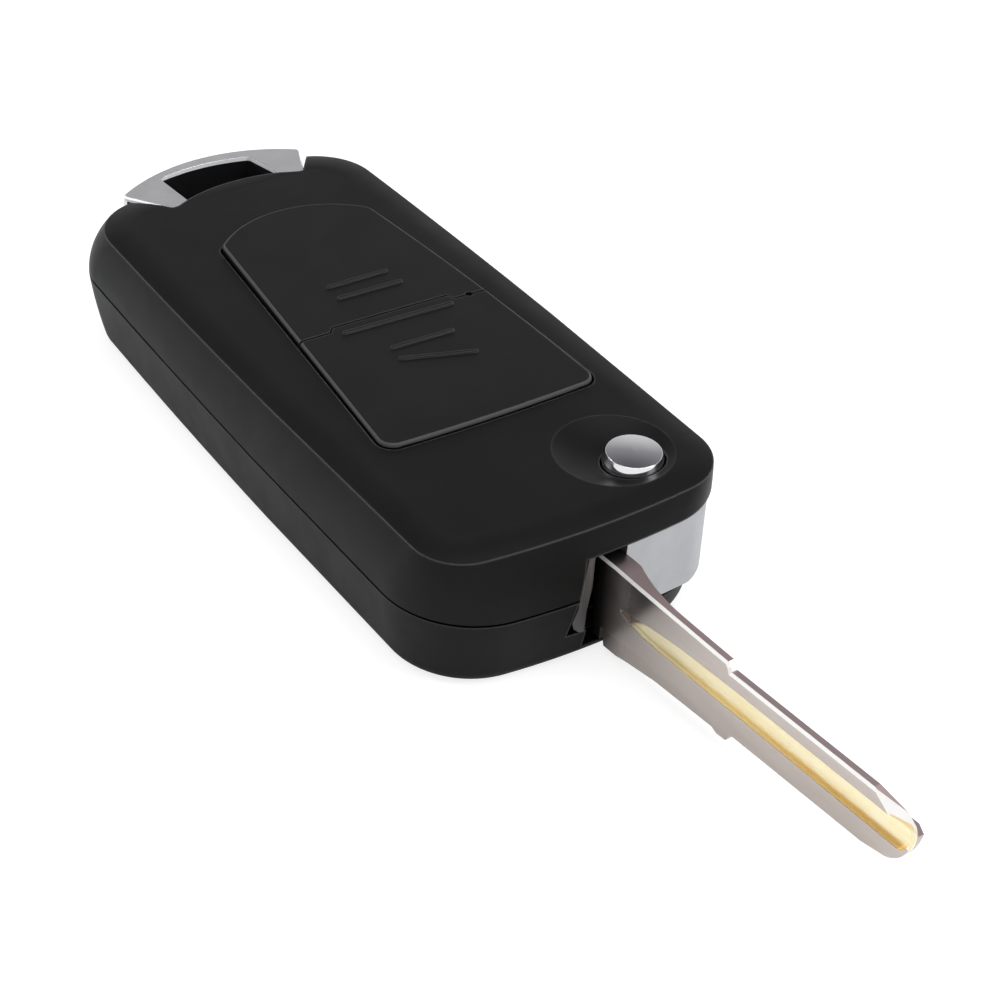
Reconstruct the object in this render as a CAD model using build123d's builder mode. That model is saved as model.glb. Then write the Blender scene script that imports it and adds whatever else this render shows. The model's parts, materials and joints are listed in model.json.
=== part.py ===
from build123d import *
import math
import os

# Flip key with a remote in its handle, shown open. Millimetres.
# X runs to the blade's tip, Y to the side that the blade folds into, Z up through the keys.
# The underside rests at Z 0, and X 0 is near the middle of the open key's length.

# Running and mating clearances
mate_gap = 0.1
running_gap = 0.1
window_gap = 0.25
sweep_gap = 0.3

# Handle: its outline narrows behind the waist, and its middle lies a little to the right of the axis
half_width = 18.25
middle_y = 0.2
waist_x = -15.0
mid_tail_x = -36.0
mid_tail_inset = 0.45
tail_x = -57.45
tail_inset = 1.3
parting_z = 8.5
crease_z = 15.5
crease_tilt = 1.24
wall_bulge_share = 0.6
base_edge_r = 1.8
seam_chamfer = 0.18
right_corner_extra = 1.3

# Levels of the handle: inset of sides and rear, front x, bow of the front, front and rear corner radii
front_x = 19.55
parting_level = (0.0, front_x, 2.05, 9.8, 5.7)
bulge_level = (0.3, front_x - 0.35, 1.8, 8.0, 6.2)
crease_level = (1.05, front_x - 1.2, 1.4, 5.3, 6.8)
roof_steps = [(0.27, 1.3), (0.38, 3.6)]
base_levels = [(2.2, (1.1, front_x - 1.1, 1.9, 9.0, 5.2)), (0.0, (1.65, front_x - 1.65, 1.8, 8.5, 5.0))]

# Rear notch of the shells, in front of the key-ring bow
notch_left = [(-66.2, -18.7), (-52.7, -6.9), (-52.7, -6.2)]
notch_arc = [(-53.1, -5.3), (-54.6, 1.0), (-53.7, 7.2)]
notch_right = [(-52.9, 9.2), (-52.9, 9.7), (-68.4, 21.1)]

# Key-ring bow, skewed like the notch, with its ring hole open towards the shells
bow_end = [(-58.2, -10.3), (-61.45, -0.6), (-57.95, 12.25)]
bow_front_x = -52.0
bow_left_y = -5.7
bow_right_y = 9.55
bow_bottom_z = 0.8
bow_top_z = 14.2
bow_corner_r = 0.6
hole_rear = [(-59.5, -4.85), (-60.05, 0.5), (-59.05, 6.3)]
hole_front = [(bow_front_x, 8.3), (bow_front_x, -4.1)]
hole_corner_r = 0.7
hole_edge = 0.3
bow_edge = 0.2
lug_x = -50.6
lug_root_x = -54.0
left_lug = (-6.1, -4.9)
right_lug = (7.8, 9.6)
lug_z0 = 5.5
lug_z1 = 10.5

# Hollow for the board and the cell
bay_x0 = -49.5
bay_x1 = -0.3
bay_y0 = -15.2
bay_y1 = 14.4
bay_r = 3.0
bay_floor_z = 1.4
bay_roof_z = 13.2

# Pivot of the blade carrier, and the room between the two lips
pivot_x = 10.8
pivot_y = 9.5
blade_yaw = 4.93
carrier_r = 7.6
carrier_flat = 0.3
carrier_corner_r = 2.0
carrier_z0 = 4.1
carrier_z1 = 12.7
recess_z0 = 3.8
recess_z1 = 13.0
hub_r = 4.1

# Blade, measured along its own length s from the pivot and across its thickness d
blade_near_d = 8.8
blade_thickness = 2.2
blade_far_d = blade_near_d - blade_thickness
root_s = 5.2
root_edge_r = 0.75
root_heel_z = 1.75
shoulder_s = 24.9
narrow_top_z = 9.88
top_edge_drop = 0.38
top_edge_in = 0.14
tang_s = 0.8
tang_z0 = 5.4
tang_z1 = 10.4
tang_step = 0.8
land_width = 0.82
land_s = 17.0
land_z = 7.4
groove_depth = 0.55
ledge_depth = 0.3
pin_s = 2.9
pin_z = 7.9
pin_r = 0.8
pin_blind_d = 4.6

blade_low = [
    (root_s, tang_z0), (root_s, root_heel_z), (7.1, root_heel_z), (7.3, 0.95), (9.2, 0.95), (10.6, 1.2),
    (14.9, 1.7), (24.0, 1.88), (25.35, 1.95), (25.75, 2.85), (26.3, 2.95), (43.4, 3.05), (46.3, 3.5),
]
tip_low = [(46.3, 3.5), (48.1, 4.7), (49.0, 6.8)]
tip_high = [(49.0, 6.8), (48.6, 8.5), (47.3, 9.25)]
blade_high = [
    (47.3, 9.25), (43.8, narrow_top_z), (shoulder_s, narrow_top_z), (24.7, 10.35), (24.3, 10.77),
    (17.6, 11.02), (11.8, 11.25), (8.2, 11.45), (root_s, 11.45), (root_s, tang_z1), (tang_s, tang_z1),
    (tang_s, tang_z0), (root_s, tang_z0),
]
near_bevel = [(43.8, 9.75), (46.4, 7.85), (48.0, 9.1)]
far_bevel = [(45.2, 3.1), (47.8, land_z), (47.9, 4.7)]
bevel_depth = 0.9
groove_low = [(9.5, 6.75), (10.9, 6.25), (13.0, 5.9), (15.5, 5.75), (47.6, 5.35)]
groove_end = (48.7, 6.6)
groove_high = [(47.7, 8.2), (26.0, 8.25), (18.0, 8.1), (13.8, 7.7), (9.5, 7.15)]
ledge_line = [(7.0, 3.25), (14.4, 3.05), (20.0, 2.95), (22.6, 2.6), (24.2, 1.8), (24.2, 0.0), (7.0, 0.0)]

# Sweep of the carrier and blade: a sector of the mouth, then a room at the side for the folded blade
mouth_s = 7.7
mouth_r = math.hypot(mouth_s, blade_near_d) + sweep_gap
mouth_a0 = -57.0
mouth_a1 = 120.0
carrier_front = carrier_r - carrier_flat
stop_x = pivot_x - carrier_front - sweep_gap
root_clear_r = math.hypot(root_s, blade_far_d) - sweep_gap
slot_wall_y = pivot_y + blade_far_d - sweep_gap
slot_root_x = -17.0
slot_root_z0 = 0.6
slot_root_z1 = 12.0
slot_tip_x = -40.6
slot_z0 = 2.3
slot_z1 = 11.4

# Throat on the near side of the blade, seen from the front, with a deeper notch for the blade's heel
throat_x = 9.0
throat_profile = [(-1.55, recess_z1), (-3.0, recess_z0), (3.0, recess_z0), (3.0, recess_z1)]
heel_x = 16.0
heel_y0 = -0.6
heel_y1 = 7.5
heel_z = 1.3
heel_r = 0.9

# Pressed strip that closes the mouth on the near side, with a flared foot, seen from the front
strip_x0 = 13.5
strip_x1 = 18.8
strip_profile = [
    (-0.97, recess_z1), (-1.8, 6.7), (-2.35, 5.3), (-2.15, 4.5), (-1.4, recess_z0), (-0.85, recess_z0),
    (-0.8, 6.2), (-0.36, 9.0), (-0.33, recess_z1),
]

# Release button in its scooped dish
dish_x = 8.8
dish_y = 8.25
dish_r = 5.9
dish_depth = 1.1
dish_rim_z = 16.0
cap_r = 3.12
cap_gap = 0.15
cap_top_z = 16.62
cap_dome = 0.12
cap_bevel_in = 0.32
cap_bevel_drop = 0.8
hub_top_z = 12.8
hub_bottom_z = 6.2
hub_cup_r = 3.3
hub_cup_z = 11.8
boss_top_z = 4.8
spring_seat_z = 1.6
spring_wire_r = 0.35
spring_r = 2.75
spring_pitch = 1.3
spring_turns = 6.2
washer_r = 7.0

# Pad with the two keys, in the plane of its tilted top
pad_z = 16.3
pad_x = -1.3
pad_tilt = 0.74
pad_edge_r = 0.4
pad_rear = [(-41.4, 11.36), (-45.6, 2.6), (-42.05, -6.72)]
pad_front = [(-1.7, -11.33), (-1.3, 1.5), (-1.6, 13.95)]
pad_right_x = -21.1
pad_right_y = 13.2
pad_front_r = 1.7
pad_rear_r = 1.3
seam_line = [(-21.9, -17.0), (-21.8, -5.4), (-22.5, -4.8), (-22.05, 8.95), (-21.2, 9.3), (-20.85, 17.0)]
seam_gap = 0.28
flange_z0 = 12.6
flange_z1 = 13.1
flange_rim = 0.8
lamp_spot = (-21.15, 11.1)
lamp_hole_r = 0.4
ridge_rise = 0.18
ridge_width = 0.42
lock_ridges = [((-29.29, -1.34), (-29.19, 5.98)), ((-26.93, -1.48), (-26.66, 6.26))]
unlock_ridges = [
    ((-20.97, -4.42), (-20.44, 8.64)), ((-16.29, -1.55), (-16.06, 5.93)), ((-14.26, -1.86), (-11.57, 5.95)),
]

# Membrane, board and what it carries
membrane_z0 = 11.7
membrane_z1 = 12.0
membrane_skirt = 1.0
board_z0 = 9.4
board_z1 = 10.4
board_gap = 0.3
lock_spot = (-32.0, 2.2)
unlock_spot = (-10.5, 2.0)
switch_size = 5.2
switch_corner_r = 0.5
switch_z1 = 11.2
plunger_r = 1.3
plunger_z1 = 11.5
lamp_size = (1.6, 0.8)
lamp_height = 0.7
control_chip_block = ((-9.0, -1.0), (6.4, 6.4), 1.1)
crystal_block = ((-9.0, 6.5), (5.0, 3.2), 1.2)
coil_block = ((-35.0, -11.2), (8.0, 3.6), 2.2)
small_part_size = (1.6, 0.8)
small_part_drop = 0.7
small_part_spots = [
    (-3.5, -6.0), (-3.5, -3.0), (-3.5, 0.0), (-4.0, 9.5),
    (-14.5, -6.5), (-14.5, -3.5), (-14.5, 4.0), (-14.5, 7.0),
]
tray_plate_z0 = 6.2
tray_plate_z1 = 7.0
tray_rim = 1.2
cell_x = -34.0
cell_y = -0.4
cell_r = 10.0
cell_z0 = 2.2
cell_z1 = 5.4
cell_edge = 0.25
cell_gap = 0.3
cell_ring = 1.2
contact_width = 4.0
contact_sheet = 0.2
leg_slot = 1.2
low_leg_x = -21.0
low_leg_y = cell_y - 4.0
high_leg_x = -18.6
high_leg_y = cell_y + 4.0

chip_spot = (6.7, -6.7)
chip_size = (12.0, 6.0)
chip_corner_r = 0.4
chip_z0 = 5.3
chip_z1 = 8.3

# Case screws, driven from below
screw_spots = [(-47.3, -12.0), (-47.3, 11.8), (11.0, -11.6)]
screw_shank_r = 0.95
screw_hole_r = 1.05
screw_head_r = 1.7
screw_head_z0 = 0.5
screw_head_z1 = 1.9
screw_tip_z = 12.0
blind_gap = 0.3
cross_length = 1.9
cross_width = 0.45
cross_depth = 0.7
post_r = 2.4

blade_cos = math.cos(math.radians(blade_yaw))
blade_sin = math.sin(math.radians(blade_yaw))
dish_sphere_r = (dish_r**2 + dish_depth**2) / (2 * dish_depth)
cap_sphere_r = (cap_r**2 + cap_dome**2) / (2 * cap_dome)


# The blade's side seen square on, at thickness d: local X is s and local Y is Z
def blade_side(d):
    origin = (pivot_x + d * blade_sin, pivot_y - d * blade_cos, 0)
    return Plane(origin=origin, x_dir=(blade_cos, blade_sin, 0), z_dir=(blade_sin, -blade_cos, 0))


# The blade and carrier seen from above at height z: local X is s and local Y is minus d
def pivot_plan(z):
    return Plane(origin=(pivot_x, pivot_y, z), x_dir=(blade_cos, blade_sin, 0), z_dir=(0, 0, 1))


# A bevel plane at the tip: two of its points lie on the face at thickness d, and the third is set in from it
def tip_plane(points, d, depth):
    start, end = (blade_side(d).from_local_coords((s, z, 0)) for s, z in points[:2])
    deep = blade_side(d - depth).from_local_coords((*points[2], 0))
    return Plane(origin=start, z_dir=(end - start).cross(deep - start))


# A plane through the handle that leans back by a share of the crease's tilt
def leaning(z, share):
    return Plane((0, 0, z)).rotated((0, -crease_tilt * share, 0))


# One level of the handle seen from above
def handle_level(inset, front, bow, front_r, rear_r):
    side = half_width - inset
    mid_side = side - mid_tail_inset
    tail_side = side - tail_inset
    tail = tail_x + inset
    with BuildSketch() as level:
        with BuildLine():
            ThreePointArc((front - bow, -side), (front, 0), (front - bow, side))
            Line((front - bow, side), (waist_x, side))
            ThreePointArc((waist_x, side), (mid_tail_x, mid_side), (tail, tail_side))
            Line((tail, tail_side), (tail, -tail_side))
            ThreePointArc((tail, -tail_side), (mid_tail_x, -mid_side), (waist_x, -side))
            Line((waist_x, -side), (front - bow, -side))
        make_face()
        fillet(level.vertices().group_by(Axis.Y)[0].sort_by(Axis.X)[-1], front_r)
        fillet(level.vertices().group_by(Axis.Y)[-1].sort_by(Axis.X)[-1], front_r + right_corner_extra)
        fillet(level.vertices().group_by(Axis.X)[0], rear_r)
    return Pos(0, middle_y) * level.sketch


# The same level drawn in by a further step towards the roof's middle
def roof_level(step):
    inset, front, bow, front_r, rear_r = crease_level
    return handle_level(inset + step, front - step, bow, front_r - step, rear_r - step)


# The rear of both shells follows two horns and the front of the key-ring loop
with BuildSketch() as rear_notch:
    with BuildLine():
        Polyline(*notch_left, notch_arc[0])
        ThreePointArc(*notch_arc)
        Polyline(notch_arc[-1], *notch_right, notch_left[0])
    make_face()

# A lug on each arm of the bow, reaching forward into the shells
def lug_plan(end_x):
    with BuildSketch() as lugs:
        for y0, y1 in (left_lug, right_lug):
            with Locations(((lug_root_x + end_x) / 2, (y0 + y1) / 2)):
                Rectangle(end_x - lug_root_x, y1 - y0)
    return lugs.sketch


with BuildSketch() as bay:
    with Locations(((bay_x0 + bay_x1) / 2, (bay_y0 + bay_y1) / 2)):
        RectangleRounded(bay_x1 - bay_x0, bay_y1 - bay_y0, bay_r)

# The board fills the bay, with corners cut away for the screw posts
with BuildSketch() as board_plan:
    offset(bay.sketch, amount=-board_gap)
    with Locations(*screw_spots[:2]):
        Circle(post_r + board_gap, mode=Mode.SUBTRACT)

# Everything that the carrier and the blade's root sweep between the two lips
with BuildSketch() as recess_plan:
    with Locations((pivot_x, pivot_y)):
        Circle(carrier_r + sweep_gap)
    with BuildLine():
        sweep_arc = CenterArc((pivot_x, pivot_y), mouth_r, mouth_a0, mouth_a1 - mouth_a0)
        Line((pivot_x, pivot_y), sweep_arc @ 0)
        Line((pivot_x, pivot_y), sweep_arc @ 1)
    make_face()
    with Locations(((stop_x + pivot_x) / 2, pivot_y + half_width / 2)):
        Rectangle(pivot_x - stop_x, half_width)

with BuildSketch() as pad_plan:
    with BuildLine():
        ThreePointArc(*pad_rear)
        Line(pad_rear[-1], pad_front[0])
        ThreePointArc(*pad_front)
        ThreePointArc(pad_front[-1], (pad_right_x, pad_right_y), pad_rear[0])
    make_face()
    fillet(pad_plan.vertices().group_by(Axis.X)[-1] + pad_plan.vertices().group_by(Axis.X)[-2], pad_front_r)
    fillet(pad_plan.vertices().filter_by(lambda v: v.X < pad_rear[0][0] + 0.1), pad_rear_r)


# Room in both shells for the carrier, the strip, and the blade on its way to the side slot
with BuildPart() as swing_room:
    with BuildSketch(Plane.YZ.offset(heel_x)) as heel_notch:
        with Locations(((heel_y0 + heel_y1) / 2, (heel_z + recess_z0) / 2)):
            Rectangle(heel_y1 - heel_y0, recess_z0 - heel_z)
        fillet(heel_notch.vertices().group_by(Axis.Z)[0].sort_by(Axis.Y)[0], heel_r)
    extrude(amount=front_x + 1 - heel_x)
    with BuildSketch(Plane.XY.offset(slot_root_z0)):
        with Locations(((slot_root_x + pivot_x) / 2, slot_wall_y + half_width / 2)):
            Rectangle(pivot_x - slot_root_x, half_width)
    extrude(amount=slot_root_z1 - slot_root_z0)
    with BuildSketch():
        with Locations((pivot_x, pivot_y)):
            Circle(root_clear_r)
    extrude(amount=recess_z1, mode=Mode.SUBTRACT)
    with BuildSketch(Plane.XY.offset(slot_z0)):
        with Locations(((slot_tip_x + slot_root_x) / 2, slot_wall_y + half_width / 2)):
            Rectangle(slot_root_x - slot_tip_x, half_width)
    extrude(amount=slot_z1 - slot_z0)
    with BuildSketch(Plane.XY.offset(recess_z0)):
        add(recess_plan.sketch)
    extrude(amount=recess_z1 - recess_z0)
    with BuildSketch(Plane.YZ.offset(throat_x)):
        with BuildLine():
            Polyline(*throat_profile, close=True)
        make_face()
    extrude(amount=front_x + 1 - throat_x)


# Upper shell: bulged wall up to the crease, then a shallow roof
with BuildPart() as upper_shell:
    with BuildSketch(Plane.XY.offset(parting_z)):
        add(handle_level(*parting_level))
    with BuildSketch(leaning(parting_z + (crease_z - parting_z) * wall_bulge_share, wall_bulge_share)):
        add(handle_level(*bulge_level))
    with BuildSketch(leaning(crease_z, 1)):
        add(handle_level(*crease_level))
    loft()
    with BuildSketch(leaning(crease_z, 1)):
        add(handle_level(*crease_level))
    for rise, step in roof_steps:
        with BuildSketch(leaning(crease_z + rise, 1)):
            add(roof_level(step))
    loft()
    with BuildSketch():
        add(rear_notch.sketch)
    extrude(amount=cap_top_z * 2, mode=Mode.SUBTRACT)
    with BuildSketch(Plane.XY.offset(parting_z)):
        add(bay.sketch)
    extrude(amount=bay_roof_z - parting_z, mode=Mode.SUBTRACT)
    add(swing_room.part, mode=Mode.SUBTRACT)
    with BuildSketch(Plane.XY.offset(bay_roof_z - 1)):
        offset(pad_plan.sketch, amount=window_gap)
    extrude(amount=cap_top_z, mode=Mode.SUBTRACT)
    with Locations((dish_x, dish_y, dish_rim_z - dish_depth + dish_sphere_r)):
        Sphere(dish_sphere_r, mode=Mode.SUBTRACT)
    with BuildSketch(Plane.XY.offset(recess_z1)):
        with Locations((pivot_x, pivot_y)):
            Circle(cap_r + cap_gap)
    extrude(amount=cap_top_z, mode=Mode.SUBTRACT)
    with BuildSketch(Plane.XY.offset(parting_z)):
        with Locations(*screw_spots[:2]):
            Circle(post_r)
    extrude(amount=bay_roof_z - parting_z)
    with BuildSketch(Plane.XY.offset(parting_z)):
        with Locations(*screw_spots):
            Circle(screw_shank_r)
    extrude(amount=screw_tip_z + blind_gap - parting_z, mode=Mode.SUBTRACT)
    with BuildSketch(Plane.XY.offset(parting_z)):
        add(lug_plan(lug_x))
    extrude(amount=lug_z1 - parting_z, mode=Mode.SUBTRACT)
upper_shell.part.label = "upper_shell"
export_step(upper_shell.part, "parts/upper_shell.step")

# Lower shell: leans in to a flat, rounded underside
with BuildPart() as lower_shell:
    with BuildSketch(Plane.XY.offset(parting_z)):
        add(handle_level(*parting_level))
    for level_z, level in base_levels:
        with BuildSketch(Plane.XY.offset(level_z)):
            add(handle_level(*level))
    loft()
    fillet(lower_shell.edges().group_by(Axis.Z)[0], base_edge_r)
    chamfer(lower_shell.edges().group_by(Axis.Z)[-1], seam_chamfer)
    with BuildSketch():
        add(rear_notch.sketch)
    extrude(amount=parting_z, mode=Mode.SUBTRACT)
    with BuildSketch(Plane.XY.offset(bay_floor_z)):
        add(bay.sketch)
    extrude(amount=parting_z, mode=Mode.SUBTRACT)
    add(swing_room.part, mode=Mode.SUBTRACT)
    with BuildSketch(Plane.XY.offset(recess_z0)):
        with Locations((pivot_x, pivot_y)):
            Circle(hub_r)
    extrude(amount=boss_top_z - recess_z0)
    with BuildSketch(Plane.XY.offset(spring_seat_z)):
        with Locations((pivot_x, pivot_y)):
            Circle(hub_cup_r)
    extrude(amount=boss_top_z, mode=Mode.SUBTRACT)
    with BuildSketch(Plane.XY.offset(bay_floor_z)):
        with Locations(*screw_spots[:2]):
            Circle(post_r)
    extrude(amount=parting_z - bay_floor_z)
    with BuildSketch():
        with Locations(*screw_spots):
            Circle(screw_hole_r)
    extrude(amount=parting_z, mode=Mode.SUBTRACT)
    with BuildSketch():
        with Locations(*screw_spots):
            Circle(screw_head_r + mate_gap)
    extrude(amount=screw_head_z1, mode=Mode.SUBTRACT)
    with BuildSketch(Plane.XY.offset(lug_z0)):
        add(lug_plan(lug_x))
    extrude(amount=parting_z, mode=Mode.SUBTRACT)
    with BuildSketch(Plane.XY.offset(chip_z0)):
        with Locations(chip_spot):
            Rectangle(chip_size[0] + 2 * mate_gap, chip_size[1] + 2 * mate_gap)
    extrude(amount=parting_z, mode=Mode.SUBTRACT)
lower_shell.part.label = "lower_shell"
export_step(lower_shell.part, "parts/lower_shell.step")

# Die-cast bow: a bar behind the key-ring hole, two arms, and a lug on each arm for the shells
with BuildPart() as key_ring_bow:
    with BuildSketch(Plane.XY.offset(bow_bottom_z)) as bow_plan:
        with BuildLine():
            ThreePointArc(*bow_end)
            Polyline(bow_end[-1], (bow_front_x, bow_right_y), (bow_front_x, bow_left_y), bow_end[0])
        make_face()
        fillet(bow_plan.vertices().sort_by(Axis.X)[:2], bow_corner_r)
    extrude(amount=bow_top_z - bow_bottom_z)
    chamfer(key_ring_bow.edges().group_by(Axis.Z)[-1] + key_ring_bow.edges().group_by(Axis.Z)[0], bow_edge)
    with BuildSketch() as ring_hole:
        with BuildLine():
            ThreePointArc(*hole_rear)
            Polyline(hole_rear[-1], *hole_front, hole_rear[0])
        make_face()
        fillet(ring_hole.vertices().sort_by(Axis.X)[:2], hole_corner_r)
    extrude(amount=bow_top_z, mode=Mode.SUBTRACT)
    with BuildSketch(Plane.XY.offset(bow_top_z - hole_edge)):
        add(ring_hole.sketch)
    with BuildSketch(Plane.XY.offset(bow_top_z)):
        offset(ring_hole.sketch, amount=hole_edge)
    loft(mode=Mode.SUBTRACT)
    with BuildSketch():
        offset(rear_notch.sketch, amount=-mate_gap)
    extrude(amount=2 * bow_top_z, mode=Mode.INTERSECT)
    with BuildSketch(Plane.XY.offset(lug_z0)):
        add(lug_plan(lug_x - mate_gap))
    extrude(amount=lug_z1 - lug_z0)
key_ring_bow.part.label = "key_ring_bow"
export_step(key_ring_bow.part, "parts/key_ring_bow.step")


# The pad as one solid, parted into the two keys below
def pad_top(rise):
    return Plane((pad_x, 0, pad_z + rise)).rotated((0, -pad_tilt, 0))


def seam_side(shift, far_x):
    line = [(x + shift, y) for x, y in seam_line]
    return line + [(far_x, line[-1][1]), (far_x, line[0][1])]


with BuildPart() as pad:
    with BuildSketch(Plane.XY.offset(flange_z0)):
        add(pad_plan.sketch)
    extrude(amount=cap_top_z)
    split(bisect_by=pad_top(0), keep=Keep.BOTTOM)
    fillet(pad.faces().sort_by(Axis.Z)[-1].edges(), pad_edge_r)
    with BuildSketch(Plane.XY.offset(flange_z0)):
        offset(pad_plan.sketch, amount=flange_rim)
        offset(bay.sketch, amount=-window_gap, mode=Mode.INTERSECT)
    extrude(amount=flange_z1 - flange_z0)
    with BuildSketch(Plane.XY.offset(flange_z0)):
        with Locations(lamp_spot):
            Circle(lamp_hole_r)
    extrude(amount=cap_top_z, mode=Mode.SUBTRACT)


def ridge_lines(ends):
    for (x0, y0), (x1, y1) in ends:
        turn = math.degrees(math.atan2(y1 - y0, x1 - x0))
        middle = ((x0 + x1) / 2, (y0 + y1) / 2)
        length = math.hypot(x1 - x0, y1 - y0)
        yield middle, turn, length


with BuildPart() as lock_key:
    add(pad.part)
    with BuildSketch(Plane.XY.offset(flange_z0)):
        with BuildLine():
            Polyline(*seam_side(-seam_gap / 2, bay_x0), close=True)
        make_face()
    extrude(amount=cap_top_z, mode=Mode.INTERSECT)
    for middle, turn, length in ridge_lines(lock_ridges):
        with BuildSketch(pad_top(ridge_rise)):
            with Locations((middle[0] - pad_x, middle[1])):
                SlotOverall(length, ridge_width, rotation=turn)
        extrude(amount=-2 * ridge_rise)
lock_key.part.label = "lock_key"
export_step(lock_key.part, "parts/lock_key.step")

with BuildPart() as unlock_key:
    add(pad.part)
    with BuildSketch(Plane.XY.offset(flange_z0)):
        with BuildLine():
            Polyline(*seam_side(seam_gap / 2, bay_x1), close=True)
        make_face()
    extrude(amount=cap_top_z, mode=Mode.INTERSECT)
    for middle, turn, length in ridge_lines(unlock_ridges):
        with BuildSketch(pad_top(ridge_rise)):
            with Locations((middle[0] - pad_x, middle[1])):
                SlotOverall(length, ridge_width, rotation=turn)
        extrude(amount=-2 * ridge_rise)
unlock_key.part.label = "unlock_key"
export_step(unlock_key.part, "parts/unlock_key.step")

# Chrome cap over the pivot
with BuildPart() as release_button:
    with BuildSketch(Plane.XY.offset(hub_top_z)):
        with Locations((pivot_x, pivot_y)):
            Circle(cap_r)
    extrude(amount=cap_top_z - hub_top_z)
    with Locations((pivot_x, pivot_y, cap_top_z - cap_sphere_r)):
        Sphere(cap_sphere_r, mode=Mode.INTERSECT)
    cap_side = release_button.faces().filter_by(GeomType.CYLINDER)[0]
    cap_edge = cap_side.edges().filter_by(GeomType.CIRCLE).sort_by(Axis.Z)[-1]
    chamfer(cap_edge, cap_bevel_drop, cap_bevel_in, reference=cap_side)
release_button.part.label = "release_button"
export_step(release_button.part, "parts/release_button.step")

# Cup under the cap, which the carrier turns on and the spring pushes up
with BuildPart() as latch_plunger:
    with BuildSketch(Plane.XY.offset(hub_bottom_z)):
        with Locations((pivot_x, pivot_y)):
            Circle(hub_r)
    extrude(amount=hub_top_z - hub_bottom_z)
    with BuildSketch(Plane.XY.offset(hub_bottom_z)):
        with Locations((pivot_x, pivot_y)):
            Circle(hub_cup_r)
    extrude(amount=hub_cup_z - hub_bottom_z, mode=Mode.SUBTRACT)
latch_plunger.part.label = "latch_plunger"
export_step(latch_plunger.part, "parts/latch_plunger.step")

# Coil that opens the blade and lifts the button
with BuildPart() as flip_spring:
    with BuildLine(Plane(origin=(pivot_x, pivot_y, spring_seat_z + spring_wire_r + mate_gap / 2))) as coil:
        Helix(pitch=spring_pitch, height=spring_pitch * spring_turns, radius=spring_r)
    with BuildSketch(Plane(origin=coil.line @ 0, z_dir=coil.line % 0)):
        Circle(spring_wire_r)
    sweep(path=coil.line, is_frenet=True)
flip_spring.part.label = "flip_spring"
export_step(flip_spring.part, "parts/flip_spring.step")

with BuildPart() as thrust_washer:
    with BuildSketch(Plane.XY.offset(recess_z0)):
        with Locations((pivot_x, pivot_y)):
            Circle(washer_r)
            Circle(hub_r + running_gap, mode=Mode.SUBTRACT)
    extrude(amount=carrier_z0 - running_gap - recess_z0)
thrust_washer.part.label = "thrust_washer"
export_step(thrust_washer.part, "parts/thrust_washer.step")

# Cast carrier: a disc with a flat front beside the blade, and a pocket for the blade's tang
with BuildPart() as blade_carrier:
    with BuildSketch(pivot_plan(carrier_z0)) as carrier_plan:
        Circle(carrier_r)
        with Locations((carrier_front / 2, -blade_far_d / 2)):
            Rectangle(carrier_front, blade_far_d)
        with Locations((carrier_front + carrier_r, 0)):
            Rectangle(2 * carrier_r, 3 * carrier_r, mode=Mode.SUBTRACT)
        fillet(carrier_plan.vertices().group_by(Axis.Y)[-1], carrier_corner_r)
        Circle(hub_r + running_gap, mode=Mode.SUBTRACT)
        with Locations((root_s + carrier_r / 2, -blade_far_d - carrier_r / 2)):
            Rectangle(carrier_r, carrier_r, mode=Mode.SUBTRACT)
    extrude(amount=carrier_z1 - carrier_z0)
    with BuildSketch(blade_side(blade_far_d)):
        with Locations(((tang_s + root_s) / 2, (tang_z0 + tang_z1) / 2)):
            Rectangle(root_s - tang_s, tang_z1 - tang_z0)
    extrude(amount=blade_thickness, mode=Mode.SUBTRACT)
    with BuildSketch(blade_side(pin_blind_d)):
        with Locations((pin_s, pin_z)):
            Circle(pin_r)
    extrude(amount=blade_far_d - pin_blind_d, mode=Mode.SUBTRACT)
blade_carrier.part.label = "blade_carrier"
export_step(blade_carrier.part, "parts/blade_carrier.step")

with BuildPart() as blade_pin:
    with BuildSketch(blade_side(pin_blind_d)):
        with Locations((pin_s, pin_z)):
            Circle(pin_r)
    extrude(amount=blade_near_d - tang_step - pin_blind_d)
blade_pin.part.label = "blade_pin"
export_step(blade_pin.part, "parts/blade_pin.step")

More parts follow.
